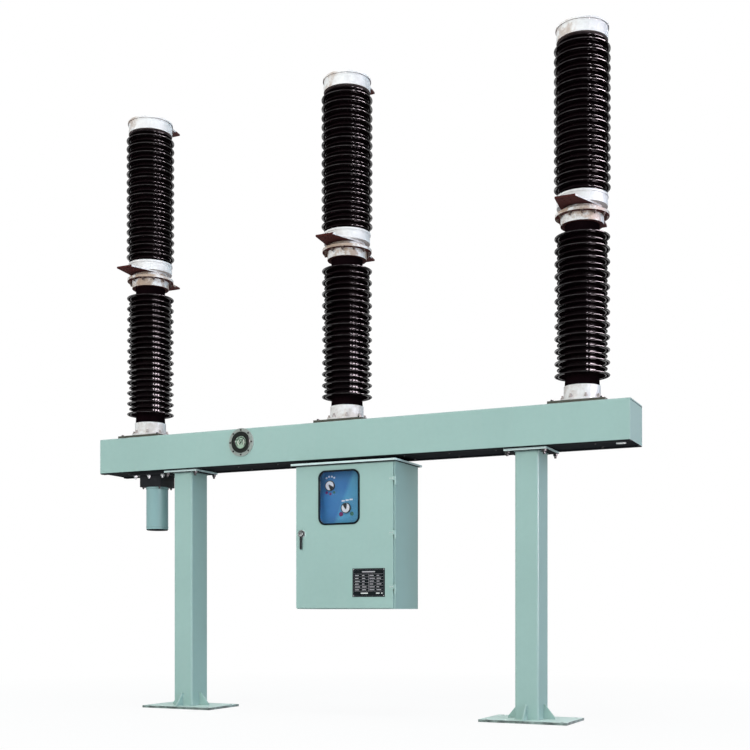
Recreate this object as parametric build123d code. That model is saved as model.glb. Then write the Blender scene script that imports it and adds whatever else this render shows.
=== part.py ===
from build123d import *
import os

# Three-pole outdoor gas circuit breaker on a beam carried by two legs.
# Millimetres, +Z up, +X along the beam, front at -Y.
# The origin is on the ground, under the middle of the beam.

# ---- Driving dimensions ----

pole_spacing = 2000        # between the axes of neighbouring poles

# feet and legs
foot_length = 700          # along X
foot_width = 480           # along Y
foot_thickness = 20
anchor_spacing_x = 600
anchor_spacing_y = 380
anchor_hole_radius = 14
left_leg_x = -1560
right_leg_x = 1600
leg_width = 190            # outside of the tube along X
leg_depth = 250            # and along Y
leg_wall = 8
leg_corner_radius = 18
leg_height = 2059
gusset_reach = 95
gusset_height = 115
gusset_thickness = 12
gusset_toe = 12            # blunt ends of a gusset
head_plate_size = 340      # plate between leg and beam
head_plate_thickness = 16

# beam
beam_length = 4820
beam_depth = 400
beam_height = 315
beam_sheet = 8
beam_lip = 60              # inward lips along the open underside
beam_bend_radius = 14
end_plate_thickness = 6
end_plate_inset = 3        # end plates sit a little inside the sheet

# spring housing under the beam's left end
spring_x = -1925
spring_plate_length = 350  # along X
spring_plate_width = 300   # along Y
spring_plate_thickness = 22
spring_block_length = 220
spring_block_width = 220
spring_block_height = 102
spring_tube_radius = 98
spring_tube_length = 386
spring_tube_chamfer = 7

# density gauge on the beam's front
gauge_x = -905
gauge_height_on_beam = 195 # centre above the beam's lower edge
gauge_radius = 120
gauge_ring_depth = 12
gauge_bezel_radius = 88
gauge_bezel_depth = 8
gauge_dial_radius = 76
gauge_floor = 4            # metal behind the dial
gauge_dial_depth = 5
gauge_glass_depth = 4
gauge_glass_inset = 2      # glass behind the bezel's rim

# mechanism cabinet
cabinet_centre_x = 93
cabinet_width = 894
cabinet_depth = 455        # without the door
cabinet_height = 1180
cabinet_sheet = 3
cabinet_front_y = -215
roof_drop = 29             # from the beam down to the roof
roof_thickness = 16
roof_overhang_side = 28
roof_overhang_front = 60   # from the cabinet's own front
roof_overhang_back = 20
hanger_length = 90
hanger_width = 60
hanger_edge = 110          # hanger centres from the cabinet's sides
hanger_spacing_y = 270

# cabinet door
door_gap = 5
door_thickness = 20
door_sheet = 2.5
door_edge_left = 4         # door edge to cabinet side
door_edge_right = 9
door_edge_top = 8
door_edge_bottom = 8
window_centre_x = 48
window_drop = 272          # window centre below the cabinet's top
window_width = 357
window_height = 427
window_corner_radius = 52
gasket_width = 10
gasket_proud = 6
gasket_overlap = 5         # gasket lip behind the door skin
glass_thickness = 5
glass_clearance = 0.3
hinge_radius = 8
hinge_length = 34
hinge_offset_x = 10        # hinge axis outside the cabinet's side
hinge_offset_y = 2         # hinge axis behind the door's face
hinge_strap_length = 44
hinge_strap_thickness = 4
hinge_arm_thickness = 6
hinge_pin_radius = 3.5
hinge_pin_clearance = 0.1
hinge_gap = 0.3
hinge_edge = 150           # outer hinges from the door's ends

# door lock and swing handle
lock_x = -297
lock_drop = 561            # lock centre below the cabinet's top
lock_radius = 32
lock_base_radius = 24
lock_base_depth = 8
handle_gap = 0.3
handle_width = 16
handle_length = 128
handle_thickness = 14
handle_spindle_radius = 8
handle_spindle_clearance = 0.1
nameplate_x = 316
nameplate_drop = 969
nameplate_width = 288
nameplate_height = 230
nameplate_thickness = 2

# indicators behind the window
panel_setback = 70         # behind the cabinet's front
panel_thickness = 4
panel_margin = 60          # wider than the window on each side
indicator_radius = 40
indicator_depth = 14
position_indicator_x = -77
position_indicator_drop = 165
spring_indicator_x = 70
spring_indicator_drop = 353

# pole base
base_plate_length = 440
base_plate_width = 370
base_plate_thickness = 20
foot_flange_radius = 162
foot_flange_thickness = 22
foot_neck_radius = 139
foot_neck_height = 100

# support insulator
support_core_radius = 128
support_neck_radius = 132
support_shed_radius = 209
support_small_shed_radius = 190
support_shed_count = 12
support_shed_pitch = 95.1
support_lower_end = 82     # from the lower end to the lowest rim
support_upper_end = 92
support_bore_radius = 60

# head of the support insulator
collar_neck_radius = 163
collar_neck_height = 64
collar_flange_radius = 205
collar_flange_thickness = 22
collar_drum_radius = 150
collar_drum_height = 35

# terminal plates
terminal_thickness = 14
terminal_root_radius = 150
terminal_front_reach = 333 # pole axis to the end of the front pad
terminal_back_reach = 290  # and to the end of the pads on the collar and the cap
terminal_pad_width = 156
terminal_pad_offset = 40   # pad centre beside the pole axis
terminal_hole_radius = 7
terminal_hole_spacing = 50
terminal_hole_inset = 42   # pattern centre from the pad's end
cap_terminal_drop = 18     # from the cap's top down to the pad's underside

# housing under the interrupter
housing_radius = 192
housing_height = 85
housing_rim_radius = 197
housing_rim_height = 16

# interrupter insulator
interrupter_core_radius = 150
interrupter_shed_radius = 213
interrupter_small_shed_radius = 190
interrupter_shed_count = 15
interrupter_shed_pitch = 75.2
interrupter_end = 60       # from an end face to the outermost large shed's rim
interrupter_bore_radius = 110

# cap on top of a pole
cap_radius = 194
cap_height = 92
cap_lid_radius = 201
cap_lid_height = 20
cap_lid_chamfer = 8

# sheds
shed_rim_radius = 4.5
shed_top_slope = 0.22
shed_under_slope = 0.06

# ---- Worked out ----

leg_bottom = foot_thickness
head_plate_bottom = leg_bottom + leg_height
beam_bottom = head_plate_bottom + head_plate_thickness
beam_top = beam_bottom + beam_height
leg_centres = {"left": left_leg_x, "right": right_leg_x}
pole_centres = {"left": -pole_spacing, "middle": 0, "right": pole_spacing}

roof_top = beam_bottom - roof_drop
cabinet_top = roof_top - roof_thickness
cabinet_bottom = cabinet_top - cabinet_height
cabinet_left = cabinet_centre_x - cabinet_width / 2
cabinet_right = cabinet_centre_x + cabinet_width / 2
cabinet_back_y = cabinet_front_y + cabinet_depth
door_back_y = cabinet_front_y - door_gap
door_face_y = door_back_y - door_thickness
door_left = cabinet_left + door_edge_left
door_right = cabinet_right - door_edge_right
door_top = cabinet_top - door_edge_top
door_bottom = cabinet_bottom + door_edge_bottom
window_z = cabinet_top - window_drop
lock_z = cabinet_top - lock_drop
hinge_x = cabinet_right + hinge_offset_x
hinge_y = door_face_y + hinge_offset_y
hinge_heights = [door_bottom + hinge_edge, (door_bottom + door_top) / 2, door_top - hinge_edge]

foot_flange_bottom = beam_top + base_plate_thickness
foot_neck_bottom = foot_flange_bottom + foot_flange_thickness
support_bottom = foot_neck_bottom + foot_neck_height
support_first_shed = support_bottom + support_lower_end
support_span = (support_shed_count - 1) * support_shed_pitch
support_top = support_first_shed + support_span + support_upper_end
collar_flange_bottom = support_top + collar_neck_height
collar_drum_bottom = collar_flange_bottom + collar_flange_thickness
terminal_bottom = collar_drum_bottom + collar_drum_height
housing_bottom = terminal_bottom + terminal_thickness
interrupter_bottom = housing_bottom + housing_height
interrupter_first_shed = interrupter_bottom + interrupter_end
interrupter_span = (interrupter_shed_count - 1) * interrupter_shed_pitch
interrupter_top = interrupter_first_shed + interrupter_span + interrupter_end
cap_bottom = interrupter_top
cap_top = cap_bottom + cap_height + cap_lid_height


# ---- Shape helpers ----

def block(x_range, y_range, z_range):
    """Box between two values along each axis."""
    size = [high - low for low, high in (x_range, y_range, z_range)]
    middle = [(high + low) / 2 for low, high in (x_range, y_range, z_range)]
    return Pos(*middle) * Box(*size)


def around(centre, size):
    """Range of a length about its centre."""
    return (centre - size / 2, centre + size / 2)


def drum(radius, bottom, height, x=0, y=0):
    """Upright cylinder standing on a height."""
    return Pos(x, y, bottom + height / 2) * Cylinder(radius, height)


def front_drum(radius, x, z, back_y, depth):
    """Cylinder along Y whose front lies depth in front of back_y."""
    return Pos(x, back_y - depth / 2, z) * Rot(90, 0, 0) * Cylinder(radius, depth)


def front_panel(x, z, width, height, corner_radius, back_y, depth):
    """Rounded rectangular plate facing -Y."""
    outline = RectangleRounded(width, height, corner_radius)
    return Pos(x, back_y, z) * Rot(90, 0, 0) * extrude(outline, depth)


def corners(spacing_x, spacing_y):
    """The four corners of a rectangular pattern."""
    return [(sx * spacing_x / 2, sy * spacing_y / 2) for sx in (-1, 1) for sy in (-1, 1)]


def save(name, shape):
    """Write one piece under its node's name."""
    export_step(shape, f"parts/{name}.step")


def shed_points(core, rim, rim_z):
    """Profile of one shed from its root below to its root above."""
    reach = rim - shed_rim_radius
    under = rim_z - shed_rim_radius
    over = rim_z + shed_rim_radius
    return [
        (core, under + (reach - core) * shed_under_slope),
        (reach, under),
        (rim, rim_z),
        (reach, over),
        (core, over + (reach - core) * shed_top_slope),
    ]


def insulator(core, neck, bore, bottom, top, sheds):
    """Porcelain tube with sheds, turned about the pole axis."""
    edges = []
    here = (neck, bottom)
    for rim, rim_z in sheds:
        root, low, tip, high, crest = shed_points(core, rim, rim_z)
        edges += [Line(here, root), Line(root, low), ThreePointArc(low, tip, high), Line(high, crest)]
        here = crest
    edges += [
        Line(here, (neck, top)),
        Line((neck, top), (bore, top)),
        Line((bore, top), (bore, bottom)),
        Line((bore, bottom), (neck, bottom)),
    ]
    profile = Plane.XZ * make_face(edges)
    return revolve(profile, Axis.Z)


# ---- Legs ----

def foot(x):
    """Base plate with its four anchor holes."""
    plate = block(around(x, foot_length), around(0, foot_width), (0, foot_thickness))
    for dx, dy in corners(anchor_spacing_x, anchor_spacing_y):
        plate -= drum(anchor_hole_radius, 0, foot_thickness, x + dx, dy)
    return plate


def leg_post(x):
    """Rectangular tube between the foot and the head plate."""
    outer = RectangleRounded(leg_width, leg_depth, leg_corner_radius)
    inner = RectangleRounded(
        leg_width - 2 * leg_wall, leg_depth - 2 * leg_wall, leg_corner_radius - leg_wall
    )
    return Pos(x, 0, leg_bottom) * extrude(outer - inner, leg_height)


def gussets(x):
    """Four triangular ribs between the foot and the leg's faces."""
    outline = Polyline(
        (0, 0),
        (gusset_reach, 0),
        (gusset_reach, gusset_toe),
        (gusset_toe, gusset_height),
        (0, gusset_height),
        close=True,
    )
    rib = extrude(Plane.XZ * make_face(outline), gusset_thickness / 2, both=True)
    ribs = []
    for turn in (0, 90, 180, 270):
        face = leg_width / 2 if turn in (0, 180) else leg_depth / 2
        ribs.append(Pos(x, 0, leg_bottom) * Rot(0, 0, turn) * Pos(face, 0, 0) * rib)
    return Compound(ribs)


def head_plate(x):
    """Plate on top of the leg that the beam rests on."""
    heights = (head_plate_bottom, head_plate_bottom + head_plate_thickness)
    return block(around(x, head_plate_size), around(0, head_plate_size), heights)


# ---- Beam ----

def beam_sheet_metal():
    """Folded sheet: top, front and back with lips turned in below."""
    outer = RectangleRounded(beam_depth, beam_height, beam_bend_radius)
    inner = RectangleRounded(
        beam_depth - 2 * beam_sheet, beam_height - 2 * beam_sheet, beam_bend_radius - beam_sheet
    )
    mouth = Pos(0, -beam_height / 2) * Rectangle(beam_depth - 2 * beam_lip, 4 * beam_sheet)
    section = outer - inner - mouth
    middle_z = (beam_bottom + beam_top) / 2
    place = Plane(origin=(-beam_length / 2, 0, middle_z), x_dir=(0, 1, 0), z_dir=(1, 0, 0))
    return extrude(place * section, beam_length)


def beam_bottom_cover():
    """Flat cover lying on the lips inside the beam."""
    half = beam_length / 2 - end_plate_inset - end_plate_thickness
    low = beam_bottom + beam_sheet
    depth = beam_depth - 2 * beam_bend_radius
    return block((-half, half), around(0, depth), (low, low + beam_sheet))


def beam_end_plates():
    """Closing plate inside each end of the beam."""
    width = beam_depth - 2 * beam_sheet
    height = beam_height - 2 * beam_sheet
    outline = RectangleRounded(width, height, beam_bend_radius - beam_sheet)
    plates = []
    for side in (-1, 1):
        inner_x = side * (beam_length / 2 - end_plate_inset) - end_plate_thickness / 2
        shift = -end_plate_thickness / 2 if side > 0 else end_plate_thickness / 2
        place = Plane(
            origin=(inner_x + shift, 0, (beam_bottom + beam_top) / 2),
            x_dir=(0, 1, 0),
            z_dir=(1, 0, 0),
        )
        plates.append(extrude(place * outline, end_plate_thickness))
    return Compound(plates)


# ---- Spring housing ----

def spring_flange():
    """Cast block bolted under the beam."""
    plate_bottom = beam_bottom - spring_plate_thickness
    block_bottom = plate_bottom - spring_block_height
    plate = block(
        around(spring_x, spring_plate_length),
        around(0, spring_plate_width),
        (plate_bottom, beam_bottom),
    )
    body = block(
        around(spring_x, spring_block_length),
        around(0, spring_block_width),
        (block_bottom, plate_bottom),
    )
    return plate + body


def spring_tube():
    """Cylinder that holds the opening spring, with a flat end cap."""
    top = beam_bottom - spring_plate_thickness - spring_block_height
    bottom = top - spring_tube_length
    tube = drum(spring_tube_radius, bottom, spring_tube_length, spring_x)
    lower_edge = tube.edges().group_by(Axis.Z)[0]
    return chamfer(lower_edge, spring_tube_chamfer)


# ---- Gauge ----

gauge_z = beam_bottom + gauge_height_on_beam
gauge_back_y = -beam_depth / 2


def gauge_ring():
    """Bolted ring with a raised bezel, open for the dial."""
    flange = front_drum(gauge_radius, gauge_x, gauge_z, gauge_back_y, gauge_ring_depth)
    depth = gauge_ring_depth + gauge_bezel_depth
    bezel = front_drum(gauge_bezel_radius, gauge_x, gauge_z, gauge_back_y, depth)
    well_back = gauge_back_y - gauge_floor
    well = front_drum(gauge_dial_radius, gauge_x, gauge_z, well_back, depth)
    return flange + bezel - well


def gauge_dial():
    """Face of the gauge at the bottom of its well."""
    back_y = gauge_back_y - gauge_floor
    return front_drum(gauge_dial_radius, gauge_x, gauge_z, back_y, gauge_dial_depth)


def gauge_glass():
    """Glass near the mouth of the well."""
    front_y = gauge_back_y - gauge_ring_depth - gauge_bezel_depth + gauge_glass_inset
    back_y = front_y + gauge_glass_depth
    return front_drum(gauge_dial_radius, gauge_x, gauge_z, back_y, gauge_glass_depth)


# ---- Cabinet ----

def cabinet_body():
    """Sheet steel box, open to the front."""
    outside = block(
        (cabinet_left, cabinet_right),
        (cabinet_front_y, cabinet_back_y),
        (cabinet_bottom, cabinet_top),
    )
    inside = block(
        (cabinet_left + cabinet_sheet, cabinet_right - cabinet_sheet),
        (cabinet_front_y - cabinet_sheet, cabinet_back_y - cabinet_sheet),
        (cabinet_bottom + cabinet_sheet, cabinet_top - cabinet_sheet),
    )
    return outside - inside


def cabinet_roof():
    """Flat rain roof that overhangs the cabinet."""
    return block(
        (cabinet_left - roof_overhang_side, cabinet_right + roof_overhang_side),
        (cabinet_front_y - roof_overhang_front, cabinet_back_y + roof_overhang_back),
        (cabinet_top, roof_top),
    )


def cabinet_hangers():
    """Four blocks between the roof and the beam."""
    blocks = []
    for x in (cabinet_left + hanger_edge, cabinet_right - hanger_edge):
        for side in (-1, 1):
            y_range = around(side * hanger_spacing_y / 2, hanger_width)
            blocks.append(block(around(x, hanger_length), y_range, (roof_top, beam_bottom)))
    return Compound(blocks)


def indicator_panel():
    """Plate behind the window that carries the indicators."""
    back_y = cabinet_front_y + panel_setback
    width = (window_width + 2 * panel_margin)
    heights = (window_z - window_height / 2 - panel_margin, cabinet_top - cabinet_sheet)
    return block(around(window_centre_x, width), (back_y - panel_thickness, back_y), heights)


def indicators():
    """Round switch-position and spring-charge indicators on the panel."""
    back_y = cabinet_front_y + panel_setback - panel_thickness
    drums = []
    for x, drop in (
        (position_indicator_x, position_indicator_drop),
        (spring_indicator_x, spring_indicator_drop),
    ):
        drums.append(front_drum(indicator_radius, x, cabinet_top - drop, back_y, indicator_depth))
    return Compound(drums)


# ---- Cabinet door ----

def door_leaf():
    """Shallow pan with a window opening."""
    pan = block((door_left, door_right), (door_face_y, door_back_y), (door_bottom, door_top))
    hollow = block(
        (door_left + door_sheet, door_right - door_sheet),
        (door_face_y + door_sheet, door_back_y + door_sheet),
        (door_bottom + door_sheet, door_top - door_sheet),
    )
    opening = front_panel(
        window_centre_x, window_z, window_width, window_height, window_corner_radius,
        door_back_y, 2 * door_thickness,
    )
    return pan - hollow - opening


def window_gasket():
    """Rubber frame over the edge of the window opening."""
    outer_radius = window_corner_radius + gasket_width
    face = front_panel(
        window_centre_x, window_z,
        window_width + 2 * gasket_width, window_height + 2 * gasket_width,
        outer_radius, door_face_y, gasket_proud,
    )
    neck_back = door_face_y + door_sheet + gasket_overlap
    neck = front_panel(
        window_centre_x, window_z, window_width, window_height, window_corner_radius,
        neck_back, neck_back - door_face_y,
    )
    sight = front_panel(
        window_centre_x, window_z,
        window_width - 2 * gasket_overlap, window_height - 2 * gasket_overlap,
        window_corner_radius - gasket_overlap, neck_back, 2 * door_thickness,
    )
    return face + neck - sight


def window_glass():
    """Pane held inside the gasket."""
    back_y = door_face_y + door_sheet
    shrink = 2 * (gasket_overlap + glass_clearance)
    return front_panel(
        window_centre_x, window_z, window_width - shrink, window_height - shrink,
        window_corner_radius - shrink / 2, back_y, glass_thickness,
    )


def door_hinges():
    """Upper knuckles with straps on the door's face."""
    hinges = []
    for z in hinge_heights:
        knuckle = drum(hinge_radius, z, hinge_length, hinge_x, hinge_y)
        knuckle -= drum(hinge_pin_radius + hinge_pin_clearance, z, hinge_length, hinge_x, hinge_y)
        strap = block(
            (hinge_x - hinge_radius - hinge_strap_length, hinge_x - hinge_pin_radius * 1.5),
            (door_face_y - hinge_strap_thickness, door_face_y),
            (z, z + hinge_length),
        )
        hinges.append(knuckle + strap)
    return Compound(hinges)


def fixed_hinges():
    """Lower knuckles with arms on the cabinet's side, and their pins."""
    hinges = []
    for z in hinge_heights:
        bottom = z - hinge_gap - hinge_length
        knuckle = drum(hinge_radius, bottom, hinge_length, hinge_x, hinge_y)
        arm = block(
            (cabinet_right, cabinet_right + hinge_arm_thickness),
            (hinge_y, cabinet_front_y + hinge_strap_length),
            (bottom, bottom + hinge_length),
        )
        pin = drum(hinge_pin_radius, bottom, 2 * hinge_length, hinge_x, hinge_y)
        hinges.append(knuckle + arm + pin)
    return Compound(hinges)


def door_lock():
    """Round escutcheon and spindle of the door handle."""
    base = front_drum(lock_radius, lock_x, lock_z, door_face_y, lock_base_depth)
    length = lock_base_depth + handle_gap + handle_thickness
    spindle = front_drum(handle_spindle_radius, lock_x, lock_z, door_face_y, length)
    return base + spindle


def door_handle():
    """Swing handle that hangs down from the lock."""
    back_y = door_face_y - lock_base_depth - handle_gap
    hub = front_drum(lock_base_radius, lock_x, lock_z, back_y, handle_thickness)
    bar = front_panel(
        lock_x, lock_z - handle_length / 2, handle_width, handle_length, handle_width / 2.2,
        back_y, handle_thickness,
    )
    radius = handle_spindle_radius + handle_spindle_clearance
    hole = front_drum(radius, lock_x, lock_z, back_y + 1, handle_thickness + 2)
    return hub + bar - hole


def nameplate():
    """Blank plate on the door."""
    z = cabinet_top - nameplate_drop
    return block(
        around(nameplate_x, nameplate_width),
        (door_face_y - nameplate_thickness, door_face_y),
        around(z, nameplate_height),
    )


# ---- Poles ----

def pole_base_plate(x):
    """Plate on the beam under a pole."""
    heights = (beam_top, beam_top + base_plate_thickness)
    return block(around(x, base_plate_length), around(0, base_plate_width), heights)


def foot_casting(x):
    """Flange and neck that hold the support insulator's lower end."""
    flange = drum(foot_flange_radius, foot_flange_bottom, foot_flange_thickness, x)
    return flange + drum(foot_neck_radius, foot_neck_bottom, foot_neck_height, x)


def support_insulator(x):
    """Porcelain column with large and small sheds by turns."""
    sheds = []
    for index in range(support_shed_count):
        rim_z = support_first_shed + index * support_shed_pitch
        sheds.append((support_shed_radius, rim_z))
        if index < support_shed_count - 1:
            sheds.append((support_small_shed_radius, rim_z + support_shed_pitch / 2))
    column = insulator(
        support_core_radius, support_neck_radius, support_bore_radius,
        support_bottom, support_top, sheds,
    )
    return Pos(x, 0, 0) * column


def tangent_point(point, radius, turn):
    """Where the line from a point touches a circle about the origin."""
    x, y = point
    distance_squared = x * x + y * y
    along = radius * radius / distance_squared
    across = turn * radius * (distance_squared - radius * radius) ** 0.5 / distance_squared
    return (along * x - across * y, along * y + across * x)


def terminal_outline(reach, side):
    """Round plate whose edges run straight out to one offset pad."""
    end = side * reach
    centre = side * terminal_pad_offset
    inner = (centre - side * terminal_pad_width / 2, end)
    outer = (centre + side * terminal_pad_width / 2, end)
    pad = Polyline(
        inner,
        outer,
        tangent_point(outer, terminal_root_radius, -1),
        tangent_point(inner, terminal_root_radius, 1),
        close=True,
    )
    return Circle(terminal_root_radius) + make_face(pad)


def terminal_plate(x, bottom, reach, side):
    """Flat conductor plate with a four-hole pattern in its pad."""
    plate = extrude(Pos(x, 0, bottom) * terminal_outline(reach, side), terminal_thickness)
    for dx, dy in corners(terminal_hole_spacing, terminal_hole_spacing):
        hole_x = x + side * terminal_pad_offset + dx
        hole_y = side * (reach - terminal_hole_inset) + dy
        plate -= drum(terminal_hole_radius, bottom, terminal_thickness, hole_x, hole_y)
    return plate


def collar(x):
    """Cast head of the support insulator: neck, bolted flange with a pad to the back, drum."""
    neck = drum(collar_neck_radius, support_top, collar_neck_height, x)
    flange = drum(collar_flange_radius, collar_flange_bottom, collar_flange_thickness, x)
    pad = terminal_plate(x, collar_flange_bottom, terminal_back_reach, 1)
    top = drum(collar_drum_radius, collar_drum_bottom, collar_drum_height, x)
    return neck + flange + pad + top


def lower_terminal(x):
    """Plate on the collar with a pad to the front."""
    return terminal_plate(x, terminal_bottom, terminal_front_reach, -1)


def housing(x):
    """Drum under the interrupter with a rim at its upper end."""
    rim_bottom = interrupter_bottom - housing_rim_height
    body = drum(housing_radius, housing_bottom, housing_height, x)
    return body + drum(housing_rim_radius, rim_bottom, housing_rim_height, x)


def interrupter(x):
    """Porcelain chamber with large and small sheds by turns."""
    sheds = []
    half_pitch = interrupter_shed_pitch / 2
    for index in range(interrupter_shed_count):
        rim_z = interrupter_first_shed + index * interrupter_shed_pitch
        sheds.append((interrupter_small_shed_radius, rim_z - half_pitch))
        sheds.append((interrupter_shed_radius, rim_z))
    sheds.append((interrupter_small_shed_radius, rim_z + half_pitch))
    column = insulator(
        interrupter_core_radius, interrupter_core_radius, interrupter_bore_radius,
        interrupter_bottom, interrupter_top, sheds,
    )
    return Pos(x, 0, 0) * column


def cap(x):
    """Cast cap over the interrupter: a drum and its lid, with a terminal pad to the back."""
    body = drum(cap_radius, cap_bottom, cap_height, x)
    lid = drum(cap_lid_radius, cap_bottom + cap_height, cap_lid_height, x)
    lid = chamfer(lid.edges().group_by(Axis.Z)[-1], cap_lid_chamfer)
    pad = terminal_plate(x, cap_top - cap_terminal_drop, terminal_back_reach, 1)
    return body + lid + pad


# ---- Write the pieces ----

os.makedirs("parts", exist_ok=True)

for side, x in leg_centres.items():
    save(f"foot_{side}", foot(x))
    save(f"leg_{side}", leg_post(x))
    save(f"gussets_{side}", gussets(x))
    save(f"head_plate_{side}", head_plate(x))

save("beam_sheet", beam_sheet_metal())
save("beam_bottom_cover", beam_bottom_cover())
save("beam_end_plates", beam_end_plates())
save("spring_flange", spring_flange())
save("spring_tube", spring_tube())
save("gauge_ring", gauge_ring())
save("gauge_dial", gauge_dial())
save("gauge_glass", gauge_glass())

save("cabinet_body", cabinet_body())
save("cabinet_roof", cabinet_roof())
save("cabinet_hangers", cabinet_hangers())
save("indicator_panel", indicator_panel())
save("indicators", indicators())
save("fixed_hinges", fixed_hinges())
save("door_leaf", door_leaf())
save("window_gasket", window_gasket())
save("window_glass", window_glass())
save("door_hinges", door_hinges())
save("door_lock", door_lock())
save("door_handle", door_handle())
save("nameplate", nameplate())

for side, x in pole_centres.items():
    save(f"base_plate_{side}", pole_base_plate(x))
    save(f"foot_casting_{side}", foot_casting(x))
    save(f"support_insulator_{side}", support_insulator(x))
    save(f"collar_{side}", collar(x))
    save(f"lower_terminal_{side}", lower_terminal(x))
    save(f"housing_{side}", housing(x))
    save(f"interrupter_{side}", interrupter(x))
    save(f"cap_{side}", cap(x))
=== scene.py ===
import math
import random

import bmesh
import bpy
from mathutils import Matrix, Vector


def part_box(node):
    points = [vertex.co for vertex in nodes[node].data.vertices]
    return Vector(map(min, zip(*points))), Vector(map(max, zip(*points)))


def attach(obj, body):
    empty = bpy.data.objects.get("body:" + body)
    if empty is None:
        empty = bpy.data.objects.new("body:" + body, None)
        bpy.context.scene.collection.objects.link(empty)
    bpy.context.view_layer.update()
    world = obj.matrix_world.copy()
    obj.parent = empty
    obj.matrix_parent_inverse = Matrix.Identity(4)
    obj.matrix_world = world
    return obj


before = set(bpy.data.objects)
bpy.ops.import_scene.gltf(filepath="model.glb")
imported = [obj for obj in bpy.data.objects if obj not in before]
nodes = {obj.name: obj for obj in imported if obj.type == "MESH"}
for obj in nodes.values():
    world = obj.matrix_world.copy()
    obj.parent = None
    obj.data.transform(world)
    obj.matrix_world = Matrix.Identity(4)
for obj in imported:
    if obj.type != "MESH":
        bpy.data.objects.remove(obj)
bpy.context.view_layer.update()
scene = bpy.context.scene

# ---- Studio ----
# A seamless white floor and backdrop with a dimmer room in front. Soft lamps in
# front, on the right and above light the object; two more on the right, seen
# only in gloss, draw the bright lines on the glaze.

SENSOR_WIDTH = 36.0
LENS = 55.2576
RISE = 0.31746667              # lens shift upwards, in widths of the picture
CAMERA_PLACE = (4.336, -8.566, 0.836)
CAMERA_TURN = 25.456
OBJECT_MIDDLE = Vector((0.0, 0.0, 2.6))
BACKDROP_WHITE = (1.0, 1.0, 1.0, 1.0)
ROOM_LIGHT = (0.76, 0.91, 1.0, 1.0)
ROOM_SIDE = (-0.26, -0.97, 0.0)
FLOOR_HALF = 60.0


def add_node(tree, kind, **settings):
    """Shader node with its plain settings given by name."""
    node = tree.nodes.new(kind)
    for key, value in settings.items():
        setattr(node, key, value)
    return node


def feed(tree, value, socket):
    """Give a socket another socket's output, a colour or a number."""
    if isinstance(value, bpy.types.NodeSocket):
        tree.links.new(value, socket)
    elif isinstance(value, tuple) and len(value) == 3 and socket.type == "RGBA":
        socket.default_value = (*value, 1.0)
    else:
        socket.default_value = value


def calculate(tree, operation, *values):
    """Math node on sockets or numbers."""
    node = add_node(tree, "ShaderNodeMath", operation=operation)
    for socket, value in zip(node.inputs, values):
        feed(tree, value, socket)
    return node.outputs[0]


def times(tree, first, second):
    """Product of two values."""
    return calculate(tree, "MULTIPLY", first, second)


def object_place(tree):
    """Place on the object, in metres."""
    return add_node(tree, "ShaderNodeTexCoord").outputs["Object"]


def ranged(tree, value, low, high, new_low, new_high):
    """Value carried over from one range to another, clamped."""
    node = add_node(tree, "ShaderNodeMapRange")
    for socket, part in zip(node.inputs[:5], (value, low, high, new_low, new_high)):
        feed(tree, part, socket)
    return node.outputs["Result"]


def mix_shaders(tree, factor, first, second):
    """Mix of two shaders' outputs."""
    node = add_node(tree, "ShaderNodeMixShader")
    for socket, value in zip(node.inputs, (factor, first, second)):
        feed(tree, value, socket)
    return node.outputs[0]


def seen_directly(tree):
    """One for rays from the camera, from gloss and through glass."""
    path = add_node(tree, "ShaderNodeLightPath").outputs
    seen = calculate(tree, "MAXIMUM", path["Is Camera Ray"], path["Is Glossy Ray"])
    return calculate(tree, "MAXIMUM", seen, path["Is Transmission Ray"])


def lay_studio_floor():
    """Wide floor that stays white and keeps the shadows."""
    corners = [(x * FLOOR_HALF, y * FLOOR_HALF, 0) for x, y in ((-1, -1), (1, -1), (1, 1), (-1, 1))]
    mesh = bpy.data.meshes.new("studio_floor")
    mesh.from_pydata(corners, [], [(0, 1, 2, 3)])
    material = bpy.data.materials.new("studio_floor")
    material.use_nodes = True
    tree = material.node_tree
    tree.nodes.clear()
    paint = add_node(tree, "ShaderNodeBsdfDiffuse")
    paint.inputs["Color"].default_value = (0.88, 0.88, 0.88, 1.0)
    glow = add_node(tree, "ShaderNodeEmission")
    glow.inputs["Color"].default_value = BACKDROP_WHITE
    distance = add_node(tree, "ShaderNodeVectorMath", operation="LENGTH")
    feed(tree, object_place(tree), distance.inputs[0])
    whitening = ranged(tree, distance.outputs["Value"], 2.2, 7.0, 0.92, 1.0)
    share = times(tree, seen_directly(tree), whitening)
    surface = mix_shaders(tree, share, paint.outputs[0], glow.outputs[0])
    feed(tree, surface, add_node(tree, "ShaderNodeOutputMaterial").inputs["Surface"])
    mesh.materials.append(material)
    floor = bpy.data.objects.new("studio_floor", mesh)
    scene.collection.objects.link(floor)


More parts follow.
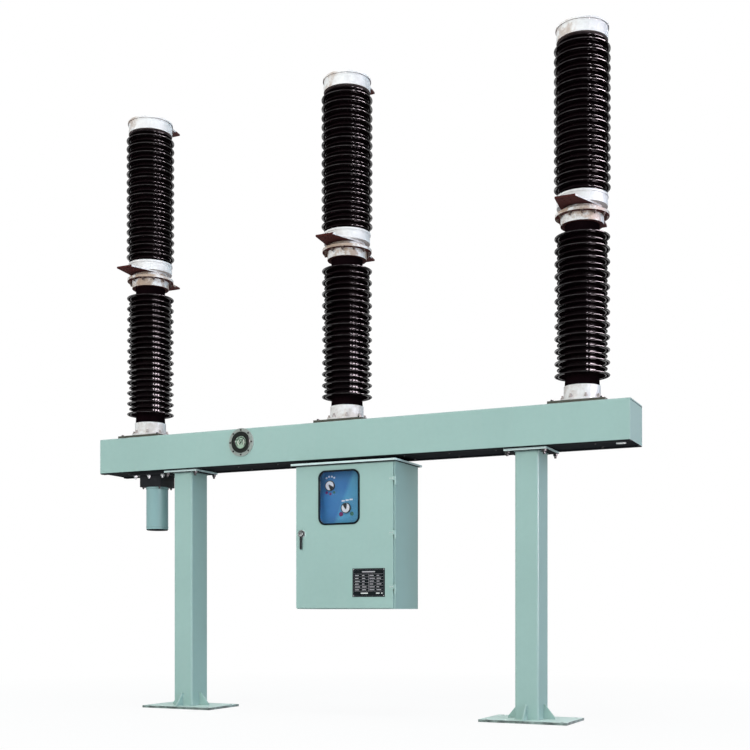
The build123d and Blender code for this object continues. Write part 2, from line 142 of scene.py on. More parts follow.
def hang_backdrop():
    """World: white where it is looked at, soft light on the object."""
    world = bpy.data.worlds.new("studio")
    scene.world = world
    world.use_nodes = True
    tree = world.node_tree
    tree.nodes.clear()
    soft = add_node(tree, "ShaderNodeBackground")
    soft.inputs["Color"].default_value = ROOM_LIGHT
    soft.inputs["Strength"].default_value = 0.44
    white = add_node(tree, "ShaderNodeBackground")
    white.inputs["Color"].default_value = BACKDROP_WHITE
    room_side = add_node(tree, "ShaderNodeVectorMath", operation="DOT_PRODUCT")
    feed(tree, add_node(tree, "ShaderNodeTexCoord").outputs["Generated"], room_side.inputs[0])
    room_side.inputs[1].default_value = ROOM_SIDE
    towards_room = ranged(tree, room_side.outputs["Value"], 0.30, 0.60, 0.0, 1.0)
    path = add_node(tree, "ShaderNodeLightPath").outputs
    dim = times(tree, towards_room, path["Is Glossy Ray"])
    kept = calculate(tree, "SUBTRACT", 1.0, times(tree, dim, 0.85))
    feed(tree, kept, white.inputs["Strength"])
    surface = mix_shaders(tree, seen_directly(tree), soft.outputs[0], white.outputs[0])
    feed(tree, surface, add_node(tree, "ShaderNodeOutputWorld").inputs["Surface"])


def hang_lamp(name, place, size, watts, colour, diffuse=True, glints=True):
    """Rectangular soft lamp turned towards the object's middle."""
    data = bpy.data.lights.new(name, "AREA")
    data.shape = "RECTANGLE"
    data.size, data.size_y = size
    data.energy = watts
    data.color = colour
    lamp = bpy.data.objects.new(name, data)
    lamp.location = place
    lamp.rotation_euler = (OBJECT_MIDDLE - Vector(place)).to_track_quat("-Z", "Y").to_euler()
    lamp.visible_diffuse = diffuse
    lamp.visible_glossy = glints
    scene.collection.objects.link(lamp)


lay_studio_floor()
hang_backdrop()
hang_lamp("front_lamp", (-1.0, -13.5, 6.0), (7.0, 6.0), 905.0, (1.0, 0.98, 0.90), glints=False)
hang_lamp("side_lamp", (34.0, -9.0, 8.0), (13.0, 8.0), 2300.0, (0.54, 0.78, 1.0), glints=False)
hang_lamp("top_lamp", (1.0, -1.5, 13.0), (8.0, 8.0), 600.0, (1.0, 1.0, 1.0), glints=False)
hang_lamp("glint_lamp", (12.0, 0.6, 5.0), (8.0, 8.0), 17000.0, (1.0, 0.84, 0.92), diffuse=False)
hang_lamp("thin_glint_lamp", (9.6, -6.6, 5.0), (0.9, 8.0), 2300.0, (1.0, 0.86, 0.93), diffuse=False)

camera_data = bpy.data.cameras.new("camera")
camera_data.sensor_width = SENSOR_WIDTH
camera_data.lens = LENS
camera_data.shift_y = RISE
camera_data.clip_end = 300.0
camera = bpy.data.objects.new("camera", camera_data)
camera.location = CAMERA_PLACE
camera.rotation_euler = (math.radians(90.0), 0.0, math.radians(CAMERA_TURN))
scene.collection.objects.link(camera)
scene.camera = camera
scene.view_settings.view_transform = "Standard"

# ---- Legs ----
# Rectangular steel tubes welded to foot plates with four gussets, and to head
# plates on top. Sprayed pale teal; faces that look down are near black as painted shade.

TEAL = (0.338, 0.487, 0.452)
# Near black for faces that look down: painted shade.
UNDERSIDE_SHADE = (0.006, 0.0072, 0.009)
ROAD_DUST = (0.50, 0.52, 0.50)
WELD_SIZE = 0.006
WELD_STEP = 0.009
RIB_WELD_SIZE = 0.004
WELD_INSET = 0.002
HALF_RIB = 0.008
# Pale teal laid on edges as a painted highlight.
EDGE_HIGHLIGHT_TEAL = (0.74, 0.84, 0.82)
# Paler teal for the foot plates as painted light from above; dark grey-green for their upright faces.
LIT_FOOT_TEAL = (0.66, 0.83, 0.765)
UPRIGHT_DARK = (0.085, 0.105, 0.098)


def noise(tree, coordinates, scale, detail, roughness=0.55):
    """Noise texture's value."""
    texture = add_node(tree, "ShaderNodeTexNoise")
    feed(tree, coordinates, texture.inputs["Vector"])
    feed(tree, scale, texture.inputs["Scale"])
    feed(tree, detail, texture.inputs["Detail"])
    feed(tree, roughness, texture.inputs["Roughness"])
    return texture.outputs["Fac"]


def mix_colours(tree, factor, first, second):
    """Second colour over the first by a factor."""
    node = add_node(tree, "ShaderNodeMix", data_type="RGBA")
    feed(tree, factor, node.inputs["Factor"])
    feed(tree, first, node.inputs[6])
    feed(tree, second, node.inputs[7])
    return node.outputs[2]


def split(tree, vector):
    """X, Y and Z of a vector."""
    node = add_node(tree, "ShaderNodeSeparateXYZ")
    feed(tree, vector, node.inputs[0])
    return node.outputs


def upward(tree):
    """How far a face looks up, from -1 to 1."""
    return split(tree, add_node(tree, "ShaderNodeNewGeometry").outputs["Normal"])["Z"]


def open_group(name, inputs, outputs):
    """Node group with named sockets; numbers and colours tell the kind."""
    group = bpy.data.node_groups.new(name, "ShaderNodeTree")
    for label, default in inputs.items():
        kind = "NodeSocketColor" if isinstance(default, tuple) else "NodeSocketFloat"
        socket = group.interface.new_socket(label, in_out="INPUT", socket_type=kind)
        socket.default_value = (*default, 1.0) if isinstance(default, tuple) else default
    for label, kind in outputs.items():
        group.interface.new_socket(label, in_out="OUTPUT", socket_type=f"NodeSocket{kind}")
    given = add_node(group, "NodeGroupInput").outputs
    return group, given, add_node(group, "NodeGroupOutput").inputs


def make_sprayed_coat():
    """Sprayed paint: slow drift in tone, orange peel, uneven gloss."""
    group, given, result = open_group(
        "sprayed_coat",
        {"Colour": TEAL, "Drift": 0.05, "Roughness": 0.4},
        {"Colour": "Color", "Roughness": "Float", "Height": "Float"},
    )
    place = object_place(group)
    broad = noise(group, place, 1.3, 4.0)
    fine = noise(group, place, 26.0, 5.0, 0.65)
    peel = noise(group, place, 380.0, 2.0)
    swing = times(group, ranged(group, broad, 0.3, 0.7, -1.0, 1.0), given["Drift"])
    fleck = ranged(group, fine, 0.3, 0.7, -0.015, 0.015)
    tint = add_node(group, "ShaderNodeVectorMath", operation="SCALE")
    feed(group, given["Colour"], tint.inputs[0])
    change = calculate(group, "ADD", swing, fleck)
    feed(group, calculate(group, "ADD", change, 1.0), tint.inputs["Scale"])
    feed(group, tint.outputs["Vector"], result["Colour"])
    uneven = ranged(group, fine, 0.3, 0.7, -0.05, 0.08)
    feed(group, calculate(group, "ADD", given["Roughness"], uneven), result["Roughness"])
    feed(group, calculate(group, "ADD", peel, times(group, fine, 0.6)), result["Height"])
    return group


def make_bright_edges():
    """Mask along edges for a painted highlight, broken up in patches."""
    group, given, result = open_group("bright_edges", {"Width": 0.004, "Amount": 0.5}, {"Mask": "Float"})
    rounded = add_node(group, "ShaderNodeBevel", samples=4)
    feed(group, given["Width"], rounded.inputs["Radius"])
    straight = add_node(group, "ShaderNodeNewGeometry").outputs["Normal"]
    both = add_node(group, "ShaderNodeVectorMath", operation="DOT_PRODUCT")
    feed(group, rounded.outputs["Normal"], both.inputs[0])
    feed(group, straight, both.inputs[1])
    edge = ranged(group, both.outputs["Value"], 0.995, 0.86, 0.0, 1.0)
    place = object_place(group)
    patchy_edge_light = ranged(group, noise(group, place, 18.0, 4.0, 0.6), 0.35, 0.6, 0.55, 1.0)
    edge_light = times(group, edge, patchy_edge_light)
    feed(group, times(group, edge_light, given["Amount"]), result["Mask"])
    return group


def make_settled_dust():
    """Mask of dust that lies on upward faces and in faint streaks on walls."""
    group, given, result = open_group("settled_dust", {"Amount": 0.3, "Streaks": 0.1}, {"Mask": "Float"})
    place = object_place(group)
    lying = ranged(group, upward(group), 0.3, 0.9, 0.0, 1.0)
    cloud = ranged(group, noise(group, place, 9.0, 6.0, 0.6), 0.35, 0.7, 0.3, 1.0)
    top = times(group, times(group, lying, cloud), given["Amount"])
    stretch = add_node(group, "ShaderNodeMapping")
    feed(group, place, stretch.inputs["Vector"])
    stretch.inputs["Scale"].default_value = (22.0, 22.0, 0.9)
    streak = ranged(group, noise(group, stretch.outputs["Vector"], 1.0, 3.0), 0.5, 0.75, 0.0, 1.0)
    washed = times(group, streak, given["Streaks"])
    feed(group, calculate(group, "ADD", top, washed), result["Mask"])
    return group


def make_facing_down():
    """Mask of the faces that look at the ground."""
    group, given, result = open_group("facing_down", {"Amount": 1.0}, {"Mask": "Float"})
    below = ranged(group, upward(group), -0.25, -0.5, 0.0, 1.0)
    feed(group, times(group, below, given["Amount"]), result["Mask"])
    return group


SPRAYED_COAT = make_sprayed_coat()
BRIGHT_EDGES = make_bright_edges()
SETTLED_DUST = make_settled_dust()
FACING_DOWN = make_facing_down()


def use_group(tree, group, **values):
    """Group placed in a material with its own values."""
    node = add_node(tree, "ShaderNodeGroup", node_tree=group)
    for label, value in values.items():
        feed(tree, value, node.inputs[label])
    return node.outputs


def open_material(name, **plain):
    """Material with one Principled BSDF; plain numbers go on its sockets."""
    material = bpy.data.materials.new(name)
    material.use_nodes = True
    tree = material.node_tree
    tree.nodes.clear()
    surface = add_node(tree, "ShaderNodeBsdfPrincipled")
    for label, value in plain.items():
        feed(tree, value, surface.inputs[label.replace("_", " ")])
    output = add_node(tree, "ShaderNodeOutputMaterial")
    feed(tree, surface.outputs["BSDF"], output.inputs["Surface"])
    return material, tree, surface.inputs


def add_bump(tree, height, strength, distance, surface):
    """Bump on a shader's normal."""
    node = add_node(tree, "ShaderNodeBump")
    node.inputs["Strength"].default_value = strength
    node.inputs["Distance"].default_value = distance
    feed(tree, height, node.inputs["Height"])
    feed(tree, node.outputs["Normal"], surface["Normal"])


def painted_steel(name, colour, roughness, shade_below, edge_amount, mouth=(0.0, 0.0)):
    """Sprayed steel with a painted highlight along its edges, and dust; near black as
    painted shade below and round a mouth given as half its depth and its height."""
    material, tree, surface = open_material(name, Specular_IOR_Level=0.1)
    coat = use_group(tree, SPRAYED_COAT, Colour=colour, Drift=0.03, Roughness=roughness)
    edges = use_group(tree, BRIGHT_EDGES, Width=0.006, Amount=edge_amount)
    dust = use_group(tree, SETTLED_DUST, Amount=0.35, Streaks=0.05)
    below = use_group(tree, FACING_DOWN, Amount=shade_below)
    # Edges are lightened: painted highlight.
    lit = mix_colours(tree, edges["Mask"], coat["Colour"], EDGE_HIGHLIGHT_TEAL)
    dusty = mix_colours(tree, dust["Mask"], lit, ROAD_DUST)
    parts = split(tree, object_place(tree))
    within = calculate(tree, "LESS_THAN", calculate(tree, "ABSOLUTE", parts["Y"]), mouth[0])
    low = calculate(tree, "LESS_THAN", parts["Z"], mouth[1])
    # Faces below and the mouth go near black: painted shade.
    painted_shade = calculate(tree, "MAXIMUM", below["Mask"], times(tree, within, low))
    feed(tree, mix_colours(tree, painted_shade, dusty, UNDERSIDE_SHADE), surface["Base Color"])
    feed(tree, calculate(tree, "MAXIMUM", coat["Roughness"], painted_shade), surface["Roughness"])
    add_bump(tree, coat["Height"], 0.15, 0.0005, surface)
    return material


def dress(material, *names):
    """Give CAD nodes their finish."""
    for name in names:
        slots = nodes[name].data.materials
        slots.clear()
        slots.append(material)


def add_piece(name, shape, material, body, crease=30.0):
    """Own piece from a bmesh; it rides on a CAD body."""
    mesh = bpy.data.meshes.new(name)
    bmesh.ops.recalc_face_normals(shape, faces=shape.faces)
    shape.to_mesh(mesh)
    shape.free()
    mesh.shade_smooth()
    mesh.set_sharp_from_angle(angle=math.radians(crease))
    mesh.materials.append(material)
    piece = bpy.data.objects.new(name, mesh)
    scene.collection.objects.link(piece)
    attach(piece, body)


def lay_weld(shape, corners, closed, size=WELD_SIZE):
    """Rippled bead along straight runs between corners."""
    points = []
    count = len(corners)
    for index in range(count if closed else count - 1):
        start, end = Vector(corners[index]), Vector(corners[(index + 1) % count])
        steps = max(1, round((end - start).length / WELD_STEP))
        points += [start.lerp(end, step / steps) for step in range(steps)]
    if not closed:
        points.append(Vector(corners[-1]))
    rings = []
    total = len(points)
    for index, point in enumerate(points):
        before = points[index - 1] if closed or index else point
        after = points[(index + 1) % total] if closed or index < total - 1 else point
        along = (after - before).normalized()
        side = along.cross(Vector((0, 0, 1)))
        side = side.normalized() if side.length > 0.1 else Vector((1, 0, 0))
        up = side.cross(along)
        radius = size * (1.0 if index % 2 else 0.86)
        angles = [math.tau * turn / 6 for turn in range(6)]
        offsets = [radius * (math.cos(angle) * side + math.sin(angle) * up) for angle in angles]
        rings.append([shape.verts.new(point + offset) for offset in offsets])
    followers = rings[1:] + rings[:1] if closed else rings[1:]
    for first, second in zip(rings, followers):
        for turn in range(6):
            near, far = turn, (turn + 1) % 6
            shape.faces.new((first[near], first[far], second[far], second[near]))
    if not closed:
        shape.faces.new(rings[0])
        shape.faces.new(list(reversed(rings[-1])))


def foot_paint():
    """Frame paint on the foot plates, paler as painted light from above, with the upright faces darkened in
    patches.
    """
    material, tree, surface = open_material("foot_paint", Specular_IOR_Level=0.15)
    coat = use_group(tree, SPRAYED_COAT, Colour=LIT_FOOT_TEAL, Drift=0.05, Roughness=0.5)
    # Tops stay pale as painted light; upright faces are darkened in patches.
    upright = ranged(tree, upward(tree), 0.3, 0.7, 1.0, 0.0)
    dark_patches = ranged(tree, noise(tree, object_place(tree), 11.0, 5.0, 0.7), 0.3, 0.6, 0.6, 1.0)
    upright_darkening = times(tree, upright, dark_patches)
    dust = use_group(tree, SETTLED_DUST, Amount=0.25, Streaks=0.0)
    dusty = mix_colours(tree, dust["Mask"], coat["Colour"], ROAD_DUST)
    feed(tree, mix_colours(tree, upright_darkening, dusty, UPRIGHT_DARK), surface["Base Color"])
    rough = calculate(tree, "MAXIMUM", coat["Roughness"], times(tree, upright_darkening, 0.8))
    feed(tree, rough, surface["Roughness"])
    add_bump(tree, coat["Height"], 0.2, 0.0006, surface)
    return material


FRAME_PAINT = painted_steel("teal_frame_paint", TEAL, 0.42, 1.0, 0.5)
# A paler copy of the frame teal for head plates and roof: painted light.
LIT_PLATE_PAINT = painted_steel("lit_plate_paint", (0.58, 0.70, 0.69), 0.42, 1.0, 0.6)
FOOT_PAINT = foot_paint()

for side in ("left", "right"):
    dress(FOOT_PAINT, f"foot_{side}")
    dress(FRAME_PAINT, f"leg_{side}", f"gussets_{side}")
    dress(LIT_PLATE_PAINT, f"head_plate_{side}")
    low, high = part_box(f"leg_{side}")
    gusset_low, gusset_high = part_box(f"gussets_{side}")
    welds = bmesh.new()
    for z in (low.z + WELD_INSET, high.z - WELD_INSET):
        run = [(low.x, low.y, z), (high.x, low.y, z), (high.x, high.y, z), (low.x, high.y, z)]
        lay_weld(welds, run, True)
    middle = (low + high) / 2
    top = gusset_high.z
    for offset in (-HALF_RIB, HALF_RIB):
        x, y = middle.x + offset, middle.y + offset
        for face, reach in ((high.x, gusset_high.x), (low.x, gusset_low.x)):
            lay_weld(welds, [(reach, y, low.z), (face, y, low.z), (face, y, top)], False, RIB_WELD_SIZE)
        for face, reach in ((high.y, gusset_high.y), (low.y, gusset_low.y)):
            lay_weld(welds, [(x, reach, low.z), (x, face, low.z), (x, face, top)], False, RIB_WELD_SIZE)
    add_piece(f"leg_welds_{side}", welds, FRAME_PAINT, "frame", 60.0)

# ---- Bolts between head plates and beam ----
# Hot-dipped hexagon bolts M20 with washers, near black as painted shade, four at
# the corners of each head plate, with nuts and bolt ends below.

UP, DOWN = (0, 0, 1), (0, 0, -1)
HEAD_BOLT_ROWS = (-0.147, 0.147)
M8, M12, M14, M16, M18, M20 = 0.008, 0.012, 0.014, 0.016, 0.018, 0.020


def turn_profile(shape, profile, place, segments):
    """Solid of revolution about a local Z axis; radius zero closes an end."""
    rings = []
    for radius, height in profile:
        if radius == 0:
            rings.append([shape.verts.new(place @ Vector((0, 0, height)))])
            continue
        angles = [math.tau * step / segments for step in range(segments)]
        points = [Vector((radius * math.cos(angle), radius * math.sin(angle), height)) for angle in angles]
        rings.append([shape.verts.new(place @ point) for point in points])
    for first, second in zip(rings, rings[1:]):
        for step in range(segments):
            after = (step + 1) % segments
            if len(first) == 1:
                shape.faces.new((first[0], second[after], second[step]))
            elif len(second) == 1:
                shape.faces.new((first[step], first[after], second[0]))
            else:
                shape.faces.new((first[step], first[after], second[after], second[step]))


def stand_at(point, axis):
    """Matrix that carries local Z onto an axis at a point."""
    turn = Vector(axis).to_track_quat("Z", "Y").to_matrix().to_4x4()
    return Matrix.Translation(Vector(point)) @ turn


def add_bolt(shape, point, axis, thread, standing=0.6):
    """Washer, chamfered hexagon nut and domed bolt end of one thread size."""
    place = stand_at(point, axis)
    washer, nut = 0.16 * thread, 0.8 * thread
    turn_profile(shape, [(0, 0), (thread, 0), (thread, washer), (0, washer)], place, 20)
    top = washer + nut
    sides = [(0, washer * 0.9), (0.92 * thread, washer * 0.9), (0.92 * thread, top - 0.12 * thread)]
    turn_profile(shape, sides + [(0.80 * thread, top), (0, top)], place, 6)
    if standing:
        end = top + standing * thread
        stud = [(0, top * 0.9), (0.5 * thread, top * 0.9), (0.5 * thread, end - 0.1 * thread)]
        turn_profile(shape, stud + [(0.4 * thread, end), (0, end)], place, 14)


def bolt_grid(name, place, axis, size, material):
    """Bolts where columns and rows cross at one level, of one thread and
    length of standing end."""
    columns, rows, z = place
    bolts = bmesh.new()
    for x in columns:
        for y in rows:
            add_bolt(bolts, (x, y, z), axis, *size)
    add_piece(name, bolts, material, "frame")


def make_zinc_bloom():
    """Spangle and white bloom of hot-dipped zinc."""
    group, given, result = open_group(
        "zinc_bloom",
        {"Light": (0.62, 0.64, 0.65), "Dark": (0.36, 0.38, 0.40)},
        {"Colour": "Color", "Roughness": "Float"},
    )
    place = object_place(group)
    cells = add_node(group, "ShaderNodeTexVoronoi")
    feed(group, place, cells.inputs["Vector"])
    cells.inputs["Scale"].default_value = 260.0
    spangle = ranged(group, cells.outputs["Distance"], 0.0, 0.7, 0.0, 1.0)
    cloud = ranged(group, noise(group, place, 55.0, 4.0), 0.35, 0.65, 0.0, 1.0)
    share = calculate(group, "ADD", times(group, spangle, 0.4), times(group, cloud, 0.6))
    feed(group, mix_colours(group, share, given["Light"], given["Dark"]), result["Colour"])
    feed(group, ranged(group, share, 0.0, 1.0, 0.38, 0.62), result["Roughness"])
    return group


ZINC_BLOOM = make_zinc_bloom()


def zinc_steel(name, light, dark, metallic, shine=0.5):
    """Mottled bare metal between two tones, such as new zinc, near-black bolts that are painted shade, and
    tinned copper.
    """
    material, tree, surface = open_material(name, Metallic=metallic, Specular_IOR_Level=shine)
    zinc = use_group(tree, ZINC_BLOOM, Light=light, Dark=dark)
    feed(tree, zinc["Colour"], surface["Base Color"])
    feed(tree, zinc["Roughness"], surface["Roughness"])
    return material


# Near-black bolts: painted shade under the head plates and the beam.
DARK_BOLTS = zinc_steel("dark_bolts", (0.07, 0.07, 0.07), (0.02, 0.02, 0.02), 0.5)

for side in ("left", "right"):
    low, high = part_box(f"head_plate_{side}")
    columns = [(low.x + high.x) / 2 + offset for offset in HEAD_BOLT_ROWS]
    place = (columns, HEAD_BOLT_ROWS, low.z)
    bolt_grid(f"head_bolts_{side}", place, DOWN, (M20, 0.9), DARK_BOLTS)

# ---- Beam ----
# Folded 8 mm sheet with lips turned in below, welded end plates and a flat
# cover on the lips. Its underside, the mouth between the lips and the cover are near black as painted
# shade.

BEAM_LOW, BEAM_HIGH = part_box("beam_sheet")
# Inside the beam's mouth the paint goes near black too, as painted shade.
MOUTH = (BEAM_HIGH.y - 0.012, BEAM_LOW.z + 0.012)
BEAM_PAINT = painted_steel("teal_beam_paint", TEAL, 0.42, 1.0, 0.5, MOUTH)
dress(BEAM_PAINT, "beam_sheet", "beam_end_plates")


def plain_coat(name, colour, roughness=0.4, drift=0.06, shine=0.4, bump=0.1, depth=0.0003):
    """One sprayed coat with a cloud in tone and gloss: enamel, or a near-black coat laid on as painted
    shade.
    """
    material, tree, surface = open_material(name, Specular_IOR_Level=shine)
    coat = use_group(tree, SPRAYED_COAT, Colour=colour, Drift=drift, Roughness=roughness)
    feed(tree, coat["Colour"], surface["Base Color"])
    feed(tree, coat["Roughness"], surface["Roughness"])
    add_bump(tree, coat["Height"], bump, depth, surface)
    return material


def thicken(shape, outline, lift):
    """Flat outline grown into a plate."""
    face = shape.faces.new([shape.verts.new(point) for point in outline])
    grown = bmesh.ops.extrude_face_region(shape, geom=[face])
    raised = [item for item in grown["geom"] if isinstance(item, bmesh.types.BMVert)]
    bmesh.ops.translate(shape, verts=raised, vec=lift)


# Near-black coat for the bottom cover and the cabinet hangers: painted shade.
NEAR_BLACK_SHADE_COAT = plain_coat("near_black_shade_coat", UNDERSIDE_SHADE, 0.9, 0.3, 0.03, 0.3, 0.0008)
dress(NEAR_BLACK_SHADE_COAT, "beam_bottom_cover")

COVER_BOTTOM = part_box("beam_bottom_cover")[0].z
SEAM_INSET = 0.010
near, far = BEAM_LOW.y + SEAM_INSET, BEAM_HIGH.y - SEAM_INSET
bottom, top = BEAM_LOW.z + SEAM_INSET, BEAM_HIGH.z - SEAM_INSET
seams = bmesh.new()
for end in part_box("beam_end_plates"):
    run = [(end.x, near, bottom), (end.x, far, bottom), (end.x, far, top), (end.x, near, top)]
    lay_weld(seams, run, True, 0.0028)
add_piece("beam_end_seams", seams, FRAME_PAINT, "frame", 60.0)

ZINC_BOLTS = zinc_steel("zinc_bolts", (0.72, 0.73, 0.73), (0.45, 0.46, 0.47), 0.55)

EARTH_PAD_X, EARTH_PAD_Y = 2.309, -0.051
EARTH_PAD_RADIUS, HALF_STRAIGHT, EARTH_PAD_THICKNESS = 0.026, 0.012, 0.006
TINNED_COPPER = zinc_steel("tinned_copper", (0.86, 0.86, 0.84), (0.70, 0.70, 0.68), 0.1)
earth_pad = bmesh.new()
pad_outline = []
for end, start in ((1, -90), (-1, 90)):
    for step in range(9):
        angle = math.radians(start + 180 * step / 8)
        x = EARTH_PAD_X + end * HALF_STRAIGHT + EARTH_PAD_RADIUS * math.cos(angle)
        y = EARTH_PAD_Y + EARTH_PAD_RADIUS * math.sin(angle)
        pad_outline.append((x, y, COVER_BOTTOM - EARTH_PAD_THICKNESS))
thicken(earth_pad, pad_outline, (0, 0, EARTH_PAD_THICKNESS))
add_piece("earth_pad", earth_pad, TINNED_COPPER, "frame")

FIRST_SCREW, SCREW_PITCH, SCREW_ROWS = 0.25, 0.39, (-0.11, 0.11)
columns = [BEAM_LOW.x + FIRST_SCREW + index * SCREW_PITCH for index in range(12)]
place = (columns, SCREW_ROWS, COVER_BOTTOM)
bolt_grid("cover_screws", place, DOWN, (M8, 0.5), DARK_BOLTS)

# ---- Opening spring ----
# A cast iron flange bolted under the beam's left end carries the steel tube
# that holds the spring. The casting is black; the tube has a darker, bluer copy of the frame's paint as
# painted shade.

def make_cast_skin():
    """Sand-cast surface: grains and shallow pits."""
    group, given, result = open_group("cast_skin", {"Grain": 220.0}, {"Height": "Float", "Mottle": "Float"})
    place = object_place(group)
    grain = noise(group, place, given["Grain"], 3.0, 0.6)
    pits = ranged(group, noise(group, place, 60.0, 2.0), 0.28, 0.42, 0.0, 1.0)
    feed(group, calculate(group, "ADD", grain, times(group, pits, 0.8)), result["Height"])
    feed(group, ranged(group, noise(group, place, 14.0, 5.0, 0.65), 0.3, 0.7, 0.0, 1.0), result["Mottle"])
    return group


CAST_SKIN = make_cast_skin()


def matt_black(name, shine, grain, colours, roughness, bump=None):
    """Mottled black: cast or moulded with a bump and dust, or smooth and clean."""
    material, tree, surface = open_material(name, Specular_IOR_Level=shine)
    skin = use_group(tree, CAST_SKIN, Grain=grain)
    base = mix_colours(tree, skin["Mottle"], *colours)
    if bump:
        dust = use_group(tree, SETTLED_DUST, Amount=0.2, Streaks=0.004)
        base = mix_colours(tree, dust["Mask"], base, ROAD_DUST)
        add_bump(tree, skin["Height"], *bump, surface)
    feed(tree, base, surface["Base Color"])
    feed(tree, ranged(tree, skin["Mottle"], 0.0, 1.0, *roughness), surface["Roughness"])
    return material


CASTING = ((0.008, 0.009, 0.011), (0.018, 0.019, 0.022))
BLACK_CASTING = matt_black("black_casting", 0.15, 180.0, CASTING, (0.5, 0.72), (0.5, 0.001))
# Darker, bluer copy of the frame teal for the tube: painted shade.
SHADED_TUBE_PAINT = painted_steel("shaded_spring_tube_paint", (0.27, 0.42, 0.425), 0.38, 1.0, 0.3)
dress(BLACK_CASTING, "spring_flange")
dress(SHADED_TUBE_PAINT, "spring_tube")

flange_low, flange_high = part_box("spring_flange")
tube_low, tube_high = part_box("spring_tube")
spring_x = (flange_low.x + flange_high.x) / 2
FLANGE_PLATE = 0.022
SIDE_INSET, FRONT_INSET = 0.028, 0.026
columns = (flange_low.x + SIDE_INSET, spring_x, flange_high.x - SIDE_INSET)
rows = (flange_low.y + FRONT_INSET, flange_high.y - FRONT_INSET)
place = (columns, rows, flange_high.z - FLANGE_PLATE)
bolt_grid("spring_flange_bolts", place, DOWN, (M18, 0.8), ZINC_BOLTS)

radius = (tube_high.x - tube_low.x) / 2
inside, clamp, bead = radius - 0.004, radius + 0.0035, radius + 0.002
upper, lower = tube_high.z, tube_low.z + 0.030
tube_place = Matrix.Translation(((tube_low.x + tube_high.x) / 2, (tube_low.y + tube_high.y) / 2, 0))
tube_rings = bmesh.new()
for profile in (
    [(inside, upper), (clamp, upper), (clamp, upper - 0.016), (inside, upper - 0.019)],
    [(inside, lower + 0.004), (bead, lower + 0.002), (bead, lower - 0.002), (inside, lower - 0.004)],
):
    turn_profile(tube_rings, profile, tube_place, 64)
add_piece("spring_tube_seams", tube_rings, SHADED_TUBE_PAINT, "frame", 60.0)

BLOCK_BOLT_ROWS = (-0.088, 0.088)
columns = [spring_x + offset for offset in BLOCK_BOLT_ROWS]
place = (columns, BLOCK_BOLT_ROWS, flange_low.z)
bolt_grid("spring_block_bolts", place, DOWN, (M12, 0.6), DARK_BOLTS)

# ---- Density gauge ----
# A turned aluminium ring screwed to the beam, with a black bezel, an enamelled
# dial with arcs, ticks and a pointer, and a flat glass.

DIAL_GREEN = (0.40, 0.58, 0.46)
FACING_FRONT = (0, -1, 0)
BEZEL_RADIUS = 0.088
MARK_LIFT, BAND_LIFT = 0.0006, 0.0005
SCREW_SEAT = 0.008


def turned_metal(name, colour, roughness, metallic):
    """Small smooth part, bare or enamelled, with fine marks and a dull bloom."""
    material, tree, surface = open_material(name, Metallic=metallic)
    skin = use_group(tree, CAST_SKIN, Grain=420.0)
    shade = tuple(part * 0.8 for part in colour)
    feed(tree, mix_colours(tree, skin["Mottle"], colour, shade), surface["Base Color"])
    feed(tree, ranged(tree, skin["Mottle"], 0.0, 1.0, roughness, roughness + 0.15), surface["Roughness"])
    add_bump(tree, skin["Height"], 0.12, 0.0004, surface)
    return material


def clear_pane(name, tint, roughness):
    """Flat clear glass with a slight tint and a film of dust."""
    material, tree, surface = open_material(name, Metallic=0.0, Transmission_Weight=1.0, IOR=1.45)
    place = object_place(tree)
    film = ranged(tree, noise(tree, place, 7.0, 4.0), 0.35, 0.7, 0.0, 1.0)
    feed(tree, mix_colours(tree, film, tint, tuple(part * 0.93 for part in tint)), surface["Base Color"])
    feed(tree, ranged(tree, film, 0.0, 1.0, roughness, roughness + 0.05), surface["Roughness"])
    return material


BEZEL = turned_metal("black_bezel", (0.004, 0.008, 0.005), 0.35, 0.0)
DIAL_MARKS = turned_metal("dial_marks", (0.012, 0.022, 0.018), 0.5, 0.0)
DIAL_WHITE = turned_metal("dial_white", (0.70, 0.76, 0.70), 0.5, 0.0)
dress(turned_metal("gauge_ring", (0.36, 0.40, 0.37), 0.45, 0.2), "gauge_ring")
dress(turned_metal("dial_enamel", DIAL_GREEN, 0.5, 0.0), "gauge_dial")
dress(clear_pane("gauge_glass", (0.97, 1.0, 0.98), 0.03), "gauge_glass")

ring_low, ring_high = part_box("gauge_ring")
dial_low, dial_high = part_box("gauge_dial")
gauge_x = (ring_low.x + ring_high.x) / 2
gauge_z = (ring_low.z + ring_high.z) / 2
gauge_radius = (ring_high.x - ring_low.x) / 2
dial_radius = (dial_high.x - dial_low.x) / 2


def on_front(x, y, z):
    """Matrix that turns local Z to the front at a point."""
    return stand_at((x, y, z), FACING_FRONT)


dial_place = on_front(gauge_x, dial_low.y, gauge_z)
bezel = bmesh.new()
bezel_profile = [
    (dial_radius - 0.022, -0.005), (dial_radius - 0.020, 0.0022), (BEZEL_RADIUS + 0.001, 0.0022),
    (BEZEL_RADIUS + 0.003, -0.001), (BEZEL_RADIUS + 0.003, -0.0078),
]
turn_profile(bezel, bezel_profile, on_front(gauge_x, ring_low.y, gauge_z), 72)
add_piece("gauge_bezel", bezel, BEZEL, "frame")


def dial_arc(shape, inner, outer, start, end, lift):
    """Flat arc on the dial between two angles from straight up."""
    steps = max(6, round(abs(end - start) / 6))
    rows = []
    for step in range(steps + 1):
        angle = math.radians(90 - (start + (end - start) * step / steps))
        way = Vector((-math.cos(angle), math.sin(angle), 0))
        points = [way * radius + Vector((0, 0, lift)) for radius in (inner, outer)]
        rows.append([shape.verts.new(dial_place @ point) for point in points])
    for first, second in zip(rows, rows[1:]):
        shape.faces.new((first[0], first[1], second[1], second[0]))


